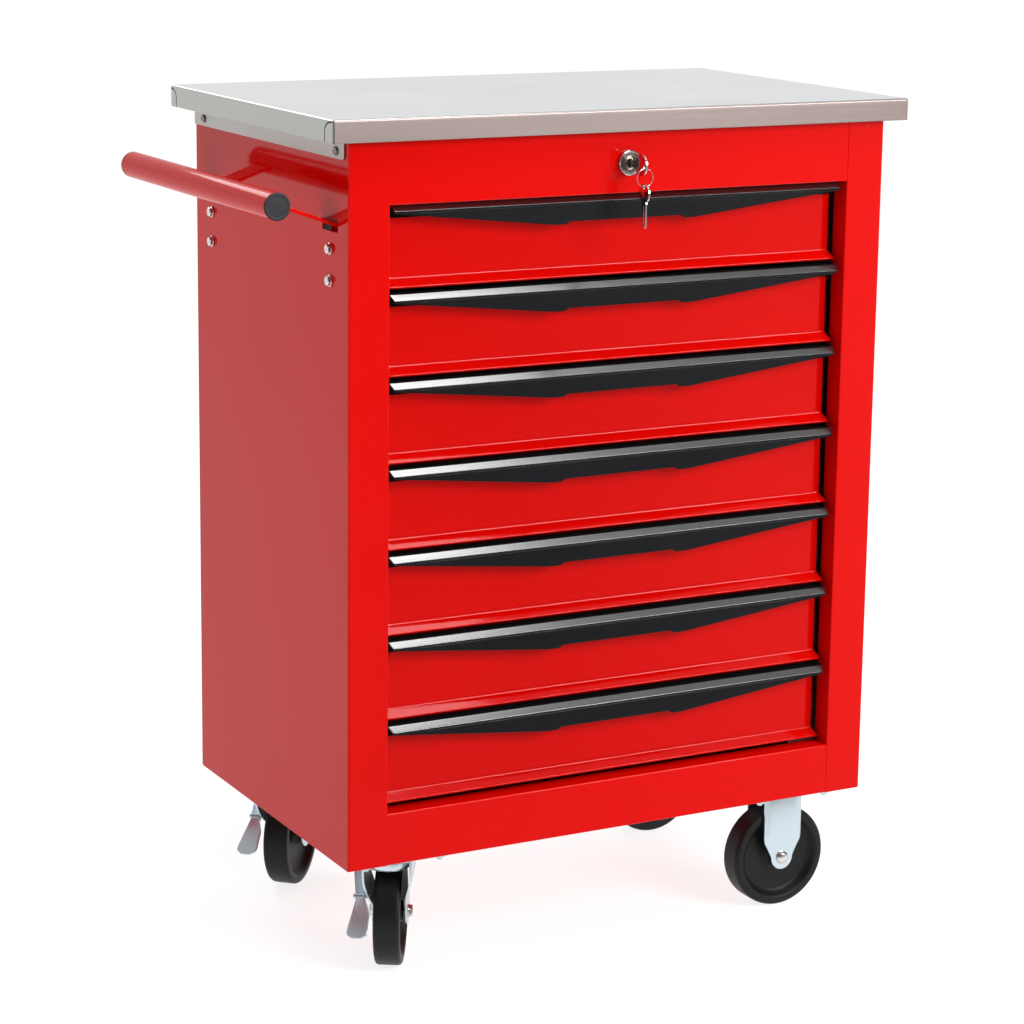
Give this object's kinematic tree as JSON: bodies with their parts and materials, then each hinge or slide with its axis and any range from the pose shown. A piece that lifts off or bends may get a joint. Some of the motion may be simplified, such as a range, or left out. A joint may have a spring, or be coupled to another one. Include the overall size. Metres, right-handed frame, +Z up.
{
  "type": "rolling tool box",
  "caption": "Steel tool cabinet on two swivel and two fixed casters, with stacked drawers on slides, a central key lock, a stainless-capped worktop and a push handle on one side.",
  "frame": {"origin": "middle of the bottom of the whole object's bounding box, on the floor", "axes": "+X to the right of a person facing the drawers, drawers open towards -Y, +Z up; the push handle is on the -X side"},
  "size_m": [0.7994, 0.483, 0.9845],
  "materials": {
    "red_enamel": "glossy red enamel",
    "drawer_red": "glossy red enamel",
    "stainless": "brushed",
    "zinc": "bright zinc plate",
    "galvanised": "dull galvanised",
    "chrome": "polished",
    "black_plastic": "satin",
    "wheel_black": "satin",
    "board": "raw fibreboard"
  },
  "bodies": {
    "cabinet": {"axle_fixed_front": "zinc", "axle_fixed_rear": "zinc", "back_panel": "red_enamel", "base_panel": "red_enamel", "bottom_rail": "red_enamel", "bracket_screws_left": "zinc", "bracket_screws_right": "zinc", "fixed_caster_bracket_front": "zinc", "fixed_caster_bracket_rear": "zinc", "handle_bolts_front": "zinc", "handle_bolts_rear": "zinc", "handle_bracket_front": "red_enamel", "handle_bracket_rear": "red_enamel", "handle_cap_front": "black_plastic", "handle_cap_rear": "black_plastic", "handle_tube": "red_enamel", "lock_body": "chrome", "lock_nut": "zinc", "side_panel_left": "red_enamel", "side_panel_right": "red_enamel", "slide_rack_left": "galvanised", "slide_rack_right": "galvanised", "swivel_plate_front": "zinc", "swivel_plate_rear": "zinc", "top_rail": "red_enamel", "worktop_bracket_left": "stainless", "worktop_bracket_right": "stainless", "worktop_core": "board", "worktop_sheet": "stainless"},
    "drawer_1": {"drawer_box_1": "drawer_red", "drawer_pull_1": "black_plastic"},
    "drawer_2": {"drawer_box_2": "drawer_red", "drawer_pull_2": "black_plastic"},
    "drawer_3": {"drawer_box_3": "drawer_red", "drawer_pull_3": "black_plastic"},
    "drawer_4": {"drawer_box_4": "drawer_red", "drawer_pull_4": "black_plastic"},
    "drawer_5": {"drawer_box_5": "drawer_red", "drawer_pull_5": "black_plastic"},
    "drawer_6": {"drawer_box_6": "drawer_red", "drawer_pull_6": "black_plastic"},
    "drawer_7": {"drawer_box_7": "drawer_red", "drawer_pull_7": "black_plastic"},
    "lock_cylinder": {"lock_plug": "chrome"},
    "inserted_key": {"key": "chrome"},
    "split_ring": {"key_ring": "chrome"},
    "linkage_rod": {"lock_rod": "zinc"},
    "locking_bar": {"lock_bar": "zinc"},
    "swivel_front": {"swivel_fork_front": "zinc", "axle_swivel_front": "zinc"},
    "swivel_wheel_front": {"wheel_swivel_front": "wheel_black"},
    "brake_front": {"brake_lever_front": "zinc"},
    "fixed_wheel_front": {"wheel_fixed_front": "wheel_black"},
    "swivel_rear": {"swivel_fork_rear": "zinc", "axle_swivel_rear": "zinc"},
    "swivel_wheel_rear": {"wheel_swivel_rear": "wheel_black"},
    "brake_rear": {"brake_lever_rear": "zinc"},
    "fixed_wheel_rear": {"wheel_fixed_rear": "wheel_black"}
  },
  "joints": [
    {"name": "drawer_1_slide", "type": "slide", "parent": "cabinet", "child": "drawer_1", "axis": [0, -1, 0], "range_m": [0, 0.3]},
    {"name": "drawer_2_slide", "type": "slide", "parent": "cabinet", "child": "drawer_2", "axis": [0, -1, 0], "range_m": [0, 0.3]},
    {"name": "drawer_3_slide", "type": "slide", "parent": "cabinet", "child": "drawer_3", "axis": [0, -1, 0], "range_m": [0, 0.3]},
    {"name": "drawer_4_slide", "type": "slide", "parent": "cabinet", "child": "drawer_4", "axis": [0, -1, 0], "range_m": [0, 0.3]},
    {"name": "drawer_5_slide", "type": "slide", "parent": "cabinet", "child": "drawer_5", "axis": [0, -1, 0], "range_m": [0, 0.3]},
    {"name": "drawer_6_slide", "type": "slide", "parent": "cabinet", "child": "drawer_6", "axis": [0, -1, 0], "range_m": [0, 0.3]},
    {"name": "drawer_7_slide", "type": "slide", "parent": "cabinet", "child": "drawer_7", "axis": [0, -1, 0], "range_m": [0, 0.3]},
    {"name": "lock_turn", "type": "hinge", "parent": "cabinet", "child": "lock_cylinder", "pos_m": [0.03525, -0.2015, 0.924], "axis": [0, 1, 0], "range_deg": [0, 90]},
    {"name": "key_pull", "type": "slide", "parent": "lock_cylinder", "child": "inserted_key", "axis": [0, -1, 0], "range_m": [0, 0.03]},
    {"name": "key_ring_swing", "type": "hinge", "parent": "inserted_key", "child": "split_ring", "pos_m": [0.03525, -0.2375, 0.921], "axis": [1, 0, 0], "range_deg": [-60, 20]},
    {"name": "lock_rod_slide", "type": "slide", "parent": "cabinet", "child": "linkage_rod", "axis": [0, 1, 0], "range_m": [0, 0.0101]},
    {"name": "lock_bar_slide", "type": "slide", "parent": "cabinet", "child": "locking_bar", "axis": [0, 0, -1], "range_m": [0, 0.01]},
    {"name": "swivel_front_turn", "type": "hinge", "parent": "cabinet", "child": "swivel_front", "pos_m": [-0.22525, -0.139, 0.141], "axis": [0, 0, 1], "continuous": true},
    {"name": "swivel_wheel_front_spin", "type": "hinge", "parent": "swivel_front", "child": "swivel_wheel_front", "pos_m": [-0.20877, -0.11157, 0.0625], "axis": [0.8572, -0.515, 0], "continuous": true},
    {"name": "brake_front_press", "type": "hinge", "parent": "swivel_front", "child": "brake_front", "pos_m": [-0.25509, -0.13041, 0.093], "axis": [0.8572, -0.515, 0], "range_deg": [0, 18]},
    {"name": "fixed_wheel_front_spin", "type": "hinge", "parent": "cabinet", "child": "fixed_wheel_front", "pos_m": [0.29575, -0.139, 0.0625], "axis": [0, 1, 0], "continuous": true},
    {"name": "swivel_rear_turn", "type": "hinge", "parent": "cabinet", "child": "swivel_rear", "pos_m": [-0.22525, 0.161, 0.141], "axis": [0, 0, 1], "continuous": true},
    {"name": "swivel_wheel_rear_spin", "type": "hinge", "parent": "swivel_rear", "child": "swivel_wheel_rear", "pos_m": [-0.20343, 0.1844, 0.0625], "axis": [0.7314, -0.682, 0], "continuous": true},
    {"name": "brake_rear_press", "type": "hinge", "parent": "swivel_rear", "child": "brake_rear", "pos_m": [-0.25265, 0.17561, 0.093], "axis": [0.7314, -0.682, 0], "range_deg": [0, 18]},
    {"name": "fixed_wheel_rear_spin", "type": "hinge", "parent": "cabinet", "child": "fixed_wheel_rear", "pos_m": [0.29575, 0.161, 0.0625], "axis": [0, 1, 0], "continuous": true}
  ],
  "couplings": [
    {"joint": "lock_turn", "follows": "lock_bar_slide", "rad_per_m": 157},
    {"joint": "lock_rod_slide", "follows": "lock_bar_slide", "ratio": 1}
  ]
}
